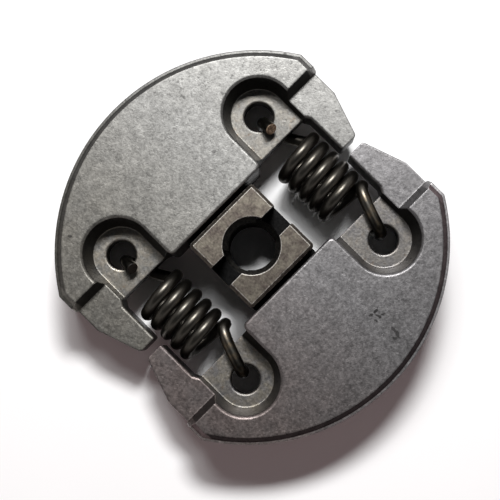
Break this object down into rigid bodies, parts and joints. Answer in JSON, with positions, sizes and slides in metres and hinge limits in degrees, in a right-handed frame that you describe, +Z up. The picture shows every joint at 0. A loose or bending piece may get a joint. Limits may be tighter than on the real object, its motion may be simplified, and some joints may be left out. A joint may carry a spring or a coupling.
{
  "type": "centrifugal clutch",
  "caption": "Centrifugal clutch for a chainsaw: half-moon sintered shoes slide on a square threaded hub and are pulled together by hooked coil springs.",
  "frame": {"origin": "on the bore axis, in the plane of the underside", "axes": "+Z up along the bore towards the face in the picture, +X the way the right shoe slides out, +Y across the gap between the shoes towards the rear spring"},
  "size_m": [0.054, 0.0474, 0.011],
  "materials": {
    "hub_steel": "ground face, dark oiled sides",
    "sintered_iron": "pressed and sintered, tumbled, fine speckle",
    "spring_wire": "dark oil-tempered wire, glossy"
  },
  "bodies": {
    "hub": {"clutch_hub": "hub_steel", "rear_spring": "spring_wire", "front_spring": "spring_wire"},
    "left": {"left_shoe": "sintered_iron"},
    "right": {"right_shoe": "sintered_iron"}
  },
  "joints": [
    {"name": "left_shoe_slide", "type": "slide", "parent": "hub", "child": "left", "axis": [-1, 0, 0], "range_m": [0, 0.00095], "stiffness_N_per_m": 12000, "deforming": ["rear_spring", "front_spring"]},
    {"name": "right_shoe_slide", "type": "slide", "parent": "hub", "child": "right", "axis": [1, 0, 0], "range_m": [0, 0.00095], "stiffness_N_per_m": 12000, "deforming": ["rear_spring", "front_spring"]}
  ]
}
